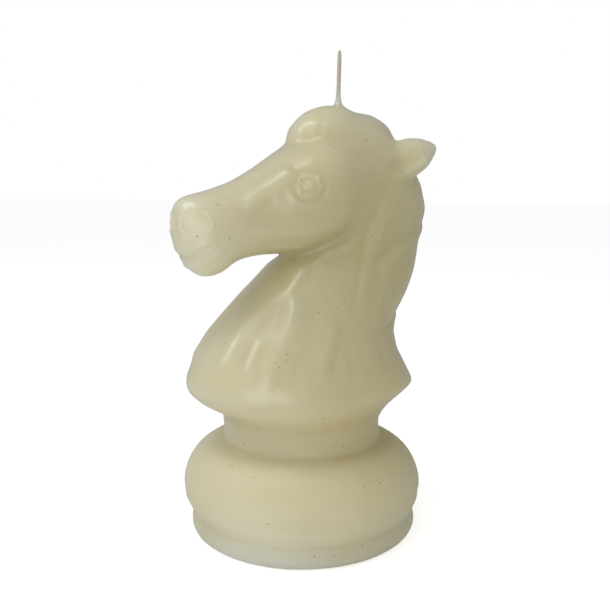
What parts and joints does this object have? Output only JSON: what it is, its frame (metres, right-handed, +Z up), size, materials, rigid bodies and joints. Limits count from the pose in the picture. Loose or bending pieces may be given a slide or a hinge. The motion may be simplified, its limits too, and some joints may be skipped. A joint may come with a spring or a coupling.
{
  "type": "knight-shaped moulded wax candle",
  "caption": "Moulded wax candle in the shape of a chess knight on a turned base, with a waxed cotton wick rising from the crown and a flat underside.",
  "frame": {"origin": "centre of the round base on the flat underside", "axes": "+Z up along the wick, -X towards the horse's nose, Y across the horse, symmetric about y = 0"},
  "size_m": [0.1075, 0.0948, 0.1862],
  "materials": {
    "wax": "cast wax, cream with an olive cast, satin to glossy, translucent",
    "top_up_wax": "second-pour wax, slightly frosted",
    "waxed_cotton": "braided cotton primed with wax",
    "tinplate": "thin tin-plated steel"
  },
  "bodies": {
    "root": {"wax_body": "wax", "base_fill": "top_up_wax", "wick": "waxed_cotton", "wick_tab": "tinplate"}
  },
  "joints": []
}
